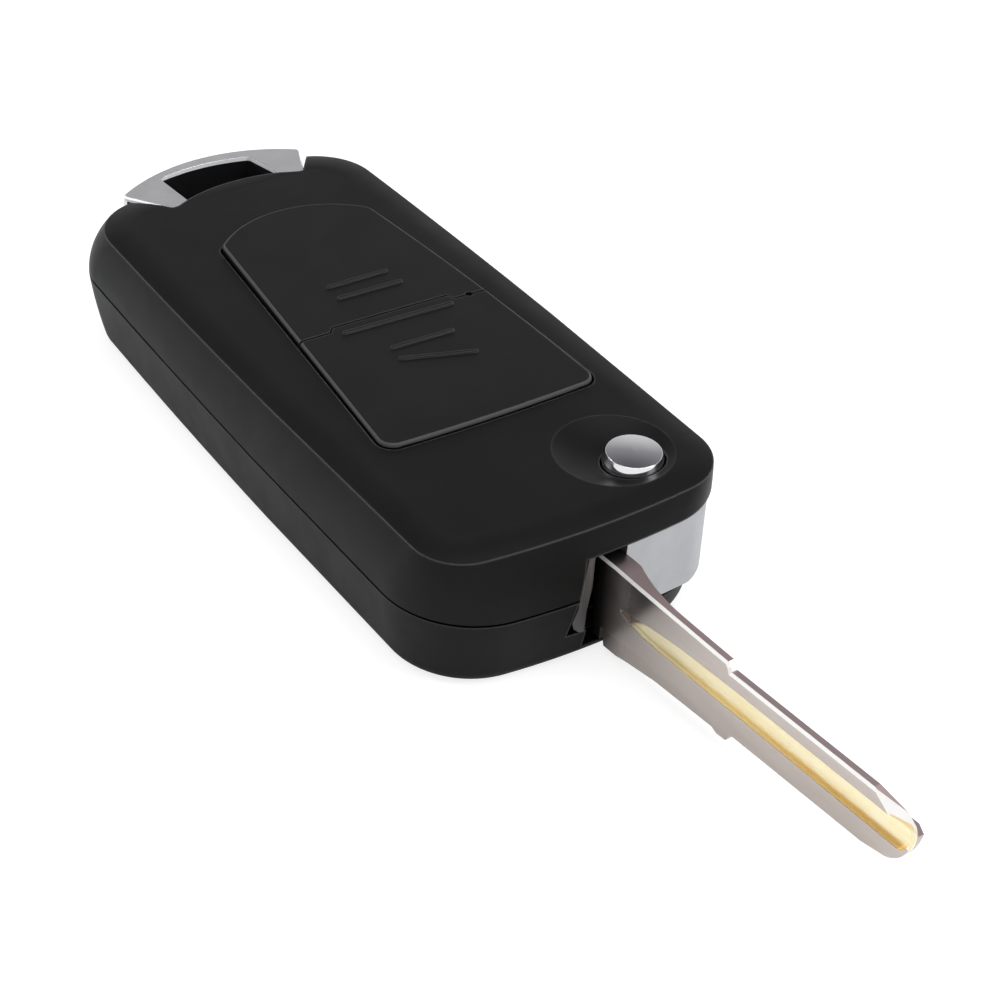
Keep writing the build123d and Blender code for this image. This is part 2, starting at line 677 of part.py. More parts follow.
# Blade: flat stock with a thin upper land, a groove that runs out near the root, and a bevelled tip
with BuildPart() as key_blade:
    with BuildSketch(blade_side(blade_far_d)):
        with BuildLine():
            Polyline(*blade_low)
            ThreePointArc(*tip_low)
            ThreePointArc(*tip_high)
            Polyline(*blade_high)
        make_face()
    extrude(amount=blade_thickness)
    near_face = key_blade.faces().filter_by(blade_side(0)).sort_by(Axis.Y)[0]
    top_edges = near_face.edges().filter_by(lambda e: e.center().Z > narrow_top_z - 0.1)
    chamfer(top_edges, top_edge_drop, top_edge_in, reference=near_face)
    with BuildSketch(blade_side(blade_near_d)):
        with Locations(((tang_s + root_s) / 2, (tang_z0 + tang_z1) / 2)):
            Rectangle(root_s - tang_s, tang_z1 - tang_z0)
    extrude(amount=-tang_step, mode=Mode.SUBTRACT)
    with BuildSketch(pivot_plan(0)):
        with BuildLine():
            rear_side = (root_s, root_edge_r - blade_near_d)
            near_side = (root_s + root_edge_r, -blade_near_d)
            TangentArc(rear_side, near_side, tangent=(0, -1))
            Polyline(near_side, (root_s, -blade_near_d), rear_side)
        make_face()
    extrude(amount=carrier_z1, mode=Mode.SUBTRACT)
    with BuildSketch(pivot_plan(land_z)):
        with BuildLine():
            land_end = (land_s, land_width - blade_near_d)
            run_out = (root_s + land_s / 4, -blade_far_d)
            TangentArc(land_end, run_out, tangent=(-1, 0))
            Polyline(run_out, (2 * shoulder_s, run_out[1]), (2 * shoulder_s, land_end[1]), land_end)
        make_face()
    extrude(amount=carrier_z1, mode=Mode.SUBTRACT)
    with BuildSketch(blade_side(blade_near_d)):
        with BuildLine():
            Polyline(*groove_low)
            ThreePointArc(groove_low[-1], groove_end, groove_high[0])
            Polyline(*groove_high)
            Line(groove_high[-1], groove_low[0])
        make_face()
    extrude(amount=-groove_depth, mode=Mode.SUBTRACT)
    with BuildSketch(blade_side(blade_near_d)):
        with BuildLine():
            Polyline(*ledge_line, close=True)
        make_face()
    extrude(amount=-ledge_depth, mode=Mode.SUBTRACT)
    split(bisect_by=tip_plane(near_bevel, blade_near_d, bevel_depth), keep=Keep.BOTTOM)
    split(bisect_by=tip_plane(far_bevel, blade_far_d, -bevel_depth), keep=Keep.BOTTOM)
    with BuildSketch(blade_side(blade_far_d)):
        with Locations((pin_s, pin_z)):
            Circle(pin_r)
    extrude(amount=blade_thickness, mode=Mode.SUBTRACT)
key_blade.part.label = "key_blade"
export_step(key_blade.part, "parts/key_blade.step")

with BuildPart() as carrier_stop:
    with BuildSketch(Plane.YZ.offset(strip_x0)):
        with BuildLine():
            Polyline(*strip_profile, close=True)
        make_face()
    extrude(amount=strip_x1 - strip_x0)
carrier_stop.part.label = "carrier_stop"
export_step(carrier_stop.part, "parts/carrier_stop.step")


# Rubber sheet over the board, standing on a skirt, with a pip over each switch
with BuildPart() as keypad_membrane:
    with BuildSketch(Plane.XY.offset(board_z1)):
        add(board_plan.sketch)
        offset(board_plan.sketch, amount=-membrane_skirt, mode=Mode.SUBTRACT)
    extrude(amount=membrane_z0 - board_z1)
    with BuildSketch(Plane.XY.offset(membrane_z0)):
        add(board_plan.sketch)
        with Locations(lamp_spot):
            Circle(3 * lamp_hole_r, mode=Mode.SUBTRACT)
    extrude(amount=membrane_z1 - membrane_z0)
    with BuildSketch(Plane.XY.offset(plunger_z1)):
        with Locations(lock_spot, unlock_spot):
            Circle(plunger_r)
    extrude(amount=membrane_z0 - plunger_z1)
keypad_membrane.part.label = "keypad_membrane"
export_step(keypad_membrane.part, "parts/keypad_membrane.step")

with BuildPart() as circuit_board:
    with BuildSketch(Plane.XY.offset(board_z0)):
        add(board_plan.sketch)
    extrude(amount=board_z1 - board_z0)
circuit_board.part.label = "circuit_board"
export_step(circuit_board.part, "parts/circuit_board.step")

with BuildPart() as tact_switches:
    with BuildSketch(Plane.XY.offset(board_z1)):
        with Locations(lock_spot, unlock_spot):
            RectangleRounded(switch_size, switch_size, switch_corner_r)
    extrude(amount=switch_z1 - board_z1)
tact_switches.part.label = "tact_switches"
export_step(tact_switches.part, "parts/tact_switches.step")

with BuildPart() as switch_plungers:
    with BuildSketch(Plane.XY.offset(switch_z1)):
        with Locations(lock_spot, unlock_spot):
            Circle(plunger_r)
    extrude(amount=plunger_z1 - switch_z1)
switch_plungers.part.label = "switch_plungers"
export_step(switch_plungers.part, "parts/switch_plungers.step")

with BuildPart() as indicator_led:
    with BuildSketch(Plane.XY.offset(board_z1)):
        with Locations(lamp_spot):
            Rectangle(*lamp_size)
    extrude(amount=lamp_height)
indicator_led.part.label = "indicator_led"
export_step(indicator_led.part, "parts/indicator_led.step")


# Parts that hang under the board, each a group of boxes given by centre, size and height
def hung_boxes(name, boxes):
    with BuildPart() as piece:
        for spot, size, drop in boxes:
            with BuildSketch(Plane.XY.offset(board_z0 - drop)):
                with Locations(spot):
                    Rectangle(*size)
            extrude(amount=drop)
    piece.part.label = name
    export_step(piece.part, f"parts/{name}.step")


hung_boxes("control_chip", [control_chip_block])
hung_boxes("radio_crystal", [crystal_block])
hung_boxes("antenna_coil", [coil_block])
hung_boxes("board_parts", [(spot, small_part_size, small_part_drop) for spot in small_part_spots])

# Inner frame: a plate with a rim for the board and a ring round the cell
with BuildPart() as board_tray:
    with BuildSketch(Plane.XY.offset(tray_plate_z0)):
        add(board_plan.sketch)
    extrude(amount=tray_plate_z1 - tray_plate_z0)
    with BuildSketch(Plane.XY.offset(tray_plate_z1)):
        add(board_plan.sketch)
        offset(board_plan.sketch, amount=-tray_rim, mode=Mode.SUBTRACT)
    extrude(amount=board_z0 - tray_plate_z1)
    with BuildSketch(Plane.XY.offset(cell_z0)):
        with Locations((cell_x, cell_y)):
            Circle(cell_r + cell_gap + cell_ring)
            Circle(cell_r + cell_gap, mode=Mode.SUBTRACT)
    extrude(amount=tray_plate_z0 - cell_z0)
    with BuildSketch(Plane.XY.offset(cell_z1 - mate_gap)):
        with Locations(((high_leg_x + cell_x) / 2, high_leg_y)):
            Rectangle(high_leg_x - cell_x + 1, contact_width + 2 * cell_gap)
    extrude(amount=tray_plate_z0 - cell_z1 + mate_gap, mode=Mode.SUBTRACT)
    with BuildSketch(Plane.XY.offset(tray_plate_z0)):
        with Locations((high_leg_x, high_leg_y), (low_leg_x, low_leg_y)):
            Rectangle(leg_slot, contact_width + 2 * cell_gap)
    extrude(amount=tray_plate_z1 - tray_plate_z0, mode=Mode.SUBTRACT)
board_tray.part.label = "board_tray"
export_step(board_tray.part, "parts/board_tray.step")

with BuildPart() as coin_cell:
    with BuildSketch(Plane.XY.offset(cell_z0)):
        with Locations((cell_x, cell_y)):
            Circle(cell_r)
    extrude(amount=cell_z1 - cell_z0)
    chamfer(coin_cell.edges(), cell_edge)
coin_cell.part.label = "coin_cell"
export_step(coin_cell.part, "parts/coin_cell.step")


# A bent strip of sheet that follows a line in the XZ plane
def contact(name, contact_y, line):
    with BuildPart() as piece:
        with BuildSketch(Plane.XZ.offset(-contact_y - contact_width / 2)):
            with BuildLine():
                Polyline(*line, close=True)
            make_face()
        extrude(amount=contact_width)
    piece.part.label = name
    export_step(piece.part, f"parts/{name}.step")


contact("cell_contact_top", high_leg_y, [
    (cell_x, cell_z1), (high_leg_x + contact_sheet, cell_z1), (high_leg_x + contact_sheet, board_z0),
    (high_leg_x, board_z0), (high_leg_x, cell_z1 + contact_sheet), (cell_x, cell_z1 + contact_sheet),
])
contact("cell_contact_bottom", low_leg_y, [
    (cell_x - 4, cell_z0), (cell_x - 4, cell_z0 - contact_sheet), (cell_x + 2, bay_floor_z),
    (low_leg_x, bay_floor_z), (low_leg_x, board_z0), (low_leg_x - contact_sheet, board_z0),
    (low_leg_x - contact_sheet, bay_floor_z + contact_sheet), (cell_x + 2.4, bay_floor_z + contact_sheet),
])

with BuildPart() as transponder_chip:
    with BuildSketch(Plane.XY.offset(chip_z0)):
        with Locations(chip_spot):
            RectangleRounded(*chip_size, chip_corner_r)
    extrude(amount=chip_z1 - chip_z0)
transponder_chip.part.label = "transponder_chip"
export_step(transponder_chip.part, "parts/transponder_chip.step")

# Screws from below, with a cross recess in each head
with BuildPart() as case_screws:
    with BuildSketch(Plane.XY.offset(screw_head_z0)):
        with Locations(*screw_spots):
            Circle(screw_head_r)
    extrude(amount=screw_head_z1 - screw_head_z0)
    with BuildSketch(Plane.XY.offset(screw_head_z1)):
        with Locations(*screw_spots):
            Circle(screw_shank_r)
    extrude(amount=screw_tip_z - screw_head_z1)
    with BuildSketch(Plane.XY.offset(screw_head_z0)):
        with Locations(*screw_spots):
            Rectangle(cross_length, cross_width)
            Rectangle(cross_width, cross_length)
    extrude(amount=cross_depth, mode=Mode.SUBTRACT)
case_screws.part.label = "case_screws"
export_step(case_screws.part, "parts/case_screws.step")
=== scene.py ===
import json
import math

import bpy
from mathutils import Matrix, Vector

# Looks of the flip key: camera, studio light and procedural materials. Metres, in the part's frame.

UP = (0.0, 0.0, 1.0)
WHITE = (1.0, 1.0, 1.0)

# Camera, at the photograph's point of view. The sensor is in millimetres, the focal length in its widths.
EYE = Vector((0.194154, -0.139562, 0.186015))
TARGET = Vector((-0.000096, 0.001719, 0.006274))
ROLL_DEG = 4.141
SENSOR_WIDTH = 36.0
FOCAL_WIDTHS = 2.98
CLIP_NEAR = 0.01
CLIP_FAR = 10.0

# Room: its even light on the object, and what reflections show of it, darker towards the ceiling
AMBIENT = 0.5
AMBIENT_TINT = (0.97, 0.98, 1.0)
ROOM_STOPS = [
    (0.0, (0.9, 0.9, 0.9)),
    (0.30, (0.92, 0.92, 0.92)),
    (0.48, (0.64, 0.64, 0.65)),
    (0.58, (0.26, 0.26, 0.27)),
    (0.70, (0.05, 0.05, 0.06)),
]

# Floor: for the camera and for reflections, a diffuse share that takes the shadow and a glow on top of it
FLOOR_HALF = 3.0
FLOOR_TONE_SCALE = 30.0
FLOOR_DARK = 0.90
FLOOR_LIGHT = 0.92
FLOOR_ROUGH = 0.9
FLOOR_SHADOW = 0.32
FLOOR_GLOW = 0.80
FLOOR_IN_METAL = 0.12
FLOOR_IN_METAL_SHADOW = 0.75

# Lamps, all aimed at the same point: name, place, side length, power
LAMP_AIM = (0.0, 0.0, 0.0)
LAMPS = [
    ("overhead", (0.02, 0.05, 0.62), 0.60, 3.0),
    ("left", (-0.45, -0.42, 0.33), 0.30, 1.0),
    ("right_front", (0.42, 0.33, 0.45), 0.30, 1.6),
]

# Parts of a noise's range that a ramp runs over
SPAN = (0.3, 0.7)
WIDE_SPAN = (0.25, 0.75)
NARROW_SPAN = (0.35, 0.65)

# Fine relief and softened edges
BUMP_DEPTH = 0.00002
BEVEL_SAMPLES = 4
# Turn of the softened normal past which an edge gets the painted highlight
EDGE_HIGHLIGHT_TURN = 0.12

# Plastic: its patches of color, its uneven sheen and its mould grain
PATCH_SCALE = 90.0
SHEEN_SCALE = 240.0
SHEEN_LESS = 0.03
SHEEN_MORE = 0.04
GRAIN_SCALE = 9000.0
GRAIN_DETAIL = 2.0
GRAIN_STRENGTH = 0.25

# Tilts between a wall and a flat top, where the pad's rounded edges get a painted highlight
SLOPE_FROM = 0.12
SLOPE_TO = 0.93
SLOPE_SOFT = 0.03

# Parting line of the case
SEAM_Z = 0.0085
SEAM_HALF = 0.00016
SEAM_SOFT = 0.00004
SEAM_BLACK = (0.0008, 0.0008, 0.0008)

# Metal: detail and roughness of its streaks
STREAK_DETAIL = 4.0
STREAK_ROUGHNESS = 0.6

# Bow: the dark inside of its ring hole, and a painted highlight, a white rim along the hole's top edge
BOW_CENTRE = (-0.04121, 0.00079, 0.0)
BOW_REACH = 0.01959
BOW_RIM_WIDTH = 0.0003
BOW_DARK_FROM_Z = 0.0011
BOW_DARK_TO_Z = 0.01386
BOW_DARK_SOFT = 0.00002
BOW_RIM_Z = 0.01372
BOW_TOP_Z = 0.01418
BOW_RIM_SOFT = 0.00001
BOW_STREAK_SCALE = 400.0
BOW_LOW = (0.68, 0.68, 0.69)
BOW_HIGH = (0.76, 0.76, 0.77)
BOW_BLACK = (0.006, 0.006, 0.007)
BOW_RIM_HIGHLIGHT = (0.98, 0.98, 0.98)
BOW_ROUGH_LOW = 0.19
BOW_ROUGH_HIGH = 0.25
BOW_DARK_ROUGH = 0.5
BOW_GLOSS = 0.3
BOW_BUMP = 0.05
BOW_EDGE = 0.0001

# Blade: s runs from the pivot towards the tip, d runs from the pivot towards the near face
PIVOT = (0.0108, 0.0095)
BLADE_YAW_DEG = 4.93
BLADE_STRETCH = (0.12, 1.0, 1.0)
BLADE_BUMP = 0.08
BLADE_EDGE = 0.00008

# Blade's nickel: its streaks, and how rough it is where it is smooth and where it is matt
NICKEL_STREAK_SCALE = 900.0
NICKEL_LOW = (0.50, 0.445, 0.415)
NICKEL_HIGH = (0.55, 0.495, 0.465)
NICKEL_ROUGH_LOW = 0.15
NICKEL_ROUGH_HIGH = 0.20
MATT_ROUGH = 0.42

# Blade's milled groove: where it lies, its slanted ends, the brass that shows in it, and painted shade
# along its upper and lower edges
GROOVE_FROM_D = 0.0081
GROOVE_TO_D = 0.00872
GROOVE_SOFT_D = 0.00003
GROOVE_FROM_Z = 0.0052
GROOVE_TO_Z = 0.0084
GROOVE_SOFT_Z = 0.00005
GROOVE_SLANT = -1.9
GROOVE_FROM_S = -0.0008
GROOVE_TO_S = 0.0400
GROOVE_SOFT_S = 0.0004
BRASS_FROM_Z = 0.0057
BRASS_TO_Z = 0.0079
BRASS_SOFT_Z = 0.0002
BRASS_SCALE = 1400.0
BRASS_DETAIL = 3.0
BRASS_LOW = (0.98, 0.86, 0.55)
BRASS_HIGH = (1.0, 0.94, 0.69)
GROOVE_EDGE_SHADE = (0.86, 0.66, 0.34)

# Blade's top, with a painted highlight in white along the cut at its edge and on the bevel at the tip
TOP_TILT = 0.9
TOP_TILT_SOFT = 0.03
TOP_FROM_Z = 0.0070
TOP_COLOR = (0.39, 0.30, 0.30)
CUT_FROM_TILT = 0.15
CUT_TO_TILT = 0.6
CUT_TILT_SOFT = 0.02
CUT_FROM_Z = 0.0087
TOP_SOFT_Z = 0.0001
TIP_BEVEL = (0.3240, -0.8836, 0.3379)
TIP_TILT = 0.97
TIP_TILT_SOFT = 0.01
CUT_HIGHLIGHT_WHITE = (0.96, 0.94, 0.92)

# Blade's root: painted shade that darkens it, and the matt stretch that reaches a little further
ROOT_SHADE_TO_S = 0.0082
ROOT_SHADE_SOFT_S = 0.0016
ROOT_SHADE_COLOR = (0.10, 0.09, 0.085)
ROOT_MATT_TO_S = 0.0100
ROOT_MATT_SOFT_S = 0.0025

# Run-out of the groove, which with the painted highlights on the cut and the tip's bevel is pale rather
# than metallic
RUN_OUT_TO_S = 0.0170
RUN_OUT_SOFT_S = 0.0060
PALE_SHARE = 0.85


def new_material(name):
    material = bpy.data.materials.new(name)
    material.use_nodes = True
    tree = material.node_tree
    shader = tree.nodes["Principled BSDF"]
    return material, tree, shader


def grey(value):
    return (value, value, value)


def object_place(tree):
    return tree.nodes.new("ShaderNodeTexCoord").outputs["Object"]


def noise(tree, scale, detail=3.0, roughness=0.55, stretch=None):
    place = object_place(tree)
    if stretch:
        mapping = tree.nodes.new("ShaderNodeMapping")
        mapping.inputs["Scale"].default_value = stretch
        tree.links.new(place, mapping.inputs["Vector"])
        place = mapping.outputs["Vector"]
    made = tree.nodes.new("ShaderNodeTexNoise")
    made.inputs["Scale"].default_value = scale
    made.inputs["Detail"].default_value = detail
    made.inputs["Roughness"].default_value = roughness
    tree.links.new(place, made.inputs["Vector"])
    return made.outputs["Fac"]


def ramp(tree, source, stops):
    made = tree.nodes.new("ShaderNodeValToRGB")
    elements = made.color_ramp.elements
    while len(elements) < len(stops):
        elements.new(0.5)
    for element, (position, color) in zip(elements, stops):
        element.position = position
        element.color = (*color, 1.0)
    tree.links.new(source, made.inputs["Fac"])
    return made.outputs["Color"]


def tones(tree, source, low, high, span=SPAN):
    return ramp(tree, source, [(span[0], low), (span[1], high)])


def math_node(tree, operation, first, second):
    made = tree.nodes.new("ShaderNodeMath")
    made.operation = operation
    for socket, value in zip(made.inputs, (first, second)):
        if isinstance(value, (int, float)):
            socket.default_value = value
        else:
            tree.links.new(value, socket)
    return made.outputs["Value"]


def times(tree, first, second):
    return math_node(tree, "MULTIPLY", first, second)


def sum_of(tree, first, second):
    return math_node(tree, "ADD", first, second)


def larger(tree, first, second):
    return math_node(tree, "MAXIMUM", first, second)


def rest_of(tree, share):
    return math_node(tree, "SUBTRACT", 1.0, share)


# Rises from 0 to 1 around the edge
def step(tree, value, edge, soft):
    made = tree.nodes.new("ShaderNodeMapRange")
    made.clamp = True
    made.inputs["From Min"].default_value = edge - soft
    made.inputs["From Max"].default_value = edge + soft
    tree.links.new(value, made.inputs["Value"])
    return made.outputs["Result"]


def between(tree, value, low, high, soft):
    rise = step(tree, value, low, soft)
    fall = step(tree, value, high, soft)
    return math_node(tree, "SUBTRACT", rise, fall)


def mix(tree, factor, first, second):
    made = tree.nodes.new("ShaderNodeMix")
    made.data_type = "RGBA"
    tree.links.new(factor, made.inputs["Factor"])
    for socket, value in ((made.inputs["A"], first), (made.inputs["B"], second)):
        if isinstance(value, tuple):
            socket.default_value = (*value, 1.0)
        else:
            tree.links.new(value, socket)
    return made.outputs["Result"]


def dot(tree, vector, axis):
    made = tree.nodes.new("ShaderNodeVectorMath")
    made.operation = "DOT_PRODUCT"
    made.inputs[1].default_value = axis
    tree.links.new(vector, made.inputs[0])
    return made.outputs["Value"]


def from_pivot(tree, place, axis):
    return sum_of(tree, dot(tree, place, axis), -(PIVOT[0] * axis[0] + PIVOT[1] * axis[1]))


# 1 where the surface faces the axis, 0 where it stands at a right angle to it
def surface_tilt(tree, axis):
    return dot(tree, tree.nodes.new("ShaderNodeTexCoord").outputs["Normal"], axis)


def soft_normal(tree, radius):
    soft = tree.nodes.new("ShaderNodeBevel")
    soft.samples = BEVEL_SAMPLES
    soft.inputs["Radius"].default_value = radius
    return soft.outputs["Normal"]


# 1 along the edges, where the softened normal turns away from the true one: where the plastic gets its
# painted highlight
def edge_share(tree, radius):
    made = tree.nodes.new("ShaderNodeVectorMath")
    made.operation = "DOT_PRODUCT"
    tree.links.new(soft_normal(tree, radius), made.inputs[0])
    tree.links.new(tree.nodes.new("ShaderNodeNewGeometry").outputs["Normal"], made.inputs[1])
    turn = rest_of(tree, made.outputs["Value"])
    return step(tree, turn, EDGE_HIGHLIGHT_TURN / 2, EDGE_HIGHLIGHT_TURN / 2)


def bump(tree, shader, height, strength, edge=None):
    made = tree.nodes.new("ShaderNodeBump")
    made.inputs["Strength"].default_value = strength
    made.inputs["Distance"].default_value = BUMP_DEPTH
    tree.links.new(height, made.inputs["Height"])
    if edge:
        tree.links.new(soft_normal(tree, edge), made.inputs["Normal"])
    tree.links.new(made.outputs["Normal"], shader.inputs["Normal"])


def plastic(name, low, high, rough, gloss=0.5, edge=None, edge_highlight=None, seam=False, lit_slopes=False):
    material, tree, shader = new_material(name)
    color = tones(tree, noise(tree, PATCH_SCALE), low, high)
    # Painted highlight: a lighter colour along the edges, and on the pad also on its sloped faces
    if edge_highlight:
        painted_light = edge_share(tree, edge)
        if lit_slopes:
            tilt = surface_tilt(tree, UP)
            painted_light = larger(tree, between(tree, tilt, SLOPE_FROM, SLOPE_TO, SLOPE_SOFT), painted_light)
        color = mix(tree, painted_light, color, edge_highlight)
    if seam:
        z = dot(tree, object_place(tree), UP)
        line = between(tree, z, SEAM_Z - SEAM_HALF, SEAM_Z + SEAM_HALF, SEAM_SOFT)
        color = mix(tree, line, color, SEAM_BLACK)
        dull = times(tree, rest_of(tree, line), gloss)
        tree.links.new(dull, shader.inputs["Specular IOR Level"])
    else:
        shader.inputs["Specular IOR Level"].default_value = gloss
    tree.links.new(color, shader.inputs["Base Color"])
    sheen = tones(tree, noise(tree, SHEEN_SCALE), grey(rough - SHEEN_LESS), grey(rough + SHEEN_MORE))
    tree.links.new(sheen, shader.inputs["Roughness"])
    bump(tree, shader, noise(tree, GRAIN_SCALE, GRAIN_DETAIL), GRAIN_STRENGTH, edge)
    return material


def metal(name, low, high, rough, stretch=None, scale=400.0, strength=0.02, spread=0.03, edge=None):
    material, tree, shader = new_material(name)
    shader.inputs["Metallic"].default_value = 1.0
    streaks = noise(tree, scale, STREAK_DETAIL, STREAK_ROUGHNESS, stretch)
    tree.links.new(tones(tree, streaks, low, high), shader.inputs["Base Color"])
    sheen = tones(tree, streaks, grey(max(0.0, rough - spread)), grey(rough + spread), WIDE_SPAN)
    tree.links.new(sheen, shader.inputs["Roughness"])
    bump(tree, shader, streaks, strength, edge)
    return material


def bow_chrome():
    material, tree, shader = new_material("bow_chrome")
    place = object_place(tree)
    flat = tree.nodes.new("ShaderNodeVectorMath")
    flat.operation = "MULTIPLY"
    flat.inputs[1].default_value = (1.0, 1.0, 0.0)
    tree.links.new(place, flat.inputs[0])
    reach = tree.nodes.new("ShaderNodeVectorMath")
    reach.operation = "DISTANCE"
    reach.inputs[1].default_value = BOW_CENTRE
    tree.links.new(flat.outputs["Vector"], reach.inputs[0])
    inside = math_node(tree, "LESS_THAN", reach.outputs["Value"], BOW_REACH)
    near_hole = math_node(tree, "LESS_THAN", reach.outputs["Value"], BOW_REACH + BOW_RIM_WIDTH)
    z = dot(tree, place, UP)
    dark = times(tree, inside, between(tree, z, BOW_DARK_FROM_Z, BOW_DARK_TO_Z, BOW_DARK_SOFT))
    # Painted highlight: a white, non-metallic rim along the hole's top edge
    rim_highlight = times(tree, near_hole, between(tree, z, BOW_RIM_Z, BOW_TOP_Z, BOW_RIM_SOFT))
    streaks = noise(tree, BOW_STREAK_SCALE, STREAK_DETAIL, STREAK_ROUGHNESS)
    inner = mix(tree, dark, tones(tree, streaks, BOW_LOW, BOW_HIGH), BOW_BLACK)
    tree.links.new(mix(tree, rim_highlight, inner, BOW_RIM_HIGHLIGHT), shader.inputs["Base Color"])
    tree.links.new(rest_of(tree, larger(tree, dark, rim_highlight)), shader.inputs["Metallic"])
    rough = tones(tree, streaks, grey(BOW_ROUGH_LOW), grey(BOW_ROUGH_HIGH), WIDE_SPAN)
    tree.links.new(mix(tree, dark, rough, grey(BOW_DARK_ROUGH)), shader.inputs["Roughness"])
    shader.inputs["Specular IOR Level"].default_value = BOW_GLOSS
    bump(tree, shader, streaks, BOW_BUMP, BOW_EDGE)
    return material


def blade_nickel():
    material, tree, shader = new_material("blade_nickel")
    place = object_place(tree)
    yaw = math.radians(BLADE_YAW_DEG)
    along = (math.cos(yaw), math.sin(yaw), 0.0)
    across = (math.sin(yaw), -math.cos(yaw), 0.0)
    s = from_pivot(tree, place, along)
    d = from_pivot(tree, place, across)
    z = dot(tree, place, UP)

    in_depth = between(tree, d, GROOVE_FROM_D, GROOVE_TO_D, GROOVE_SOFT_D)
    in_height = between(tree, z, GROOVE_FROM_Z, GROOVE_TO_Z, GROOVE_SOFT_Z)
    slanted = sum_of(tree, s, times(tree, z, GROOVE_SLANT))
    in_length = between(tree, slanted, GROOVE_FROM_S, GROOVE_TO_S, GROOVE_SOFT_S)
    milled = times(tree, times(tree, in_depth, in_height), in_length)
    run_out = times(tree, milled, rest_of(tree, step(tree, s, RUN_OUT_TO_S, RUN_OUT_SOFT_S)))

    up = surface_tilt(tree, UP)
    on_top = times(tree, step(tree, up, TOP_TILT, TOP_TILT_SOFT), step(tree, z, TOP_FROM_Z, TOP_SOFT_Z))
    cut_tilt = between(tree, up, CUT_FROM_TILT, CUT_TO_TILT, CUT_TILT_SOFT)
    cut_edge = times(tree, cut_tilt, step(tree, z, CUT_FROM_Z, TOP_SOFT_Z))
    tip = step(tree, surface_tilt(tree, TIP_BEVEL), TIP_TILT, TIP_TILT_SOFT)
    # Painted highlight: the cut along the top edge and the tip's bevel are white and less metallic
    painted_highlight = larger(tree, cut_edge, tip)
    # Painted shade: the blade's colour is darker towards its root
    root_shade = rest_of(tree, step(tree, s, ROOT_SHADE_TO_S, ROOT_SHADE_SOFT_S))
    root = rest_of(tree, step(tree, s, ROOT_MATT_TO_S, ROOT_MATT_SOFT_S))

    streaks = noise(tree, NICKEL_STREAK_SCALE, STREAK_DETAIL, STREAK_ROUGHNESS, BLADE_STRETCH)
    nickel = tones(tree, streaks, NICKEL_LOW, NICKEL_HIGH)
    painted_light = mix(tree, root_shade, mix(tree, on_top, nickel, TOP_COLOR), ROOT_SHADE_COLOR)
    body = mix(tree, painted_highlight, painted_light, CUT_HIGHLIGHT_WHITE)
    patchy = noise(tree, BRASS_SCALE, BRASS_DETAIL, STREAK_ROUGHNESS, BLADE_STRETCH)
    brass = tones(tree, patchy, BRASS_LOW, BRASS_HIGH, NARROW_SPAN)
    # Painted shade: the brass is darker along the groove's upper and lower edges
    groove = mix(tree, between(tree, z, BRASS_FROM_Z, BRASS_TO_Z, BRASS_SOFT_Z), GROOVE_EDGE_SHADE, brass)
    tree.links.new(mix(tree, milled, body, groove), shader.inputs["Base Color"])

    pale = larger(tree, times(tree, painted_highlight, PALE_SHARE), times(tree, run_out, PALE_SHARE))
    tree.links.new(rest_of(tree, pale), shader.inputs["Metallic"])
    smooth = tones(tree, streaks, grey(NICKEL_ROUGH_LOW), grey(NICKEL_ROUGH_HIGH), WIDE_SPAN)
    matt = larger(tree, larger(tree, on_top, milled), root)
    tree.links.new(mix(tree, matt, smooth, grey(MATT_ROUGH)), shader.inputs["Roughness"])
    bump(tree, shader, mix(tree, milled, streaks, patchy), BLADE_BUMP, BLADE_EDGE)
    return material


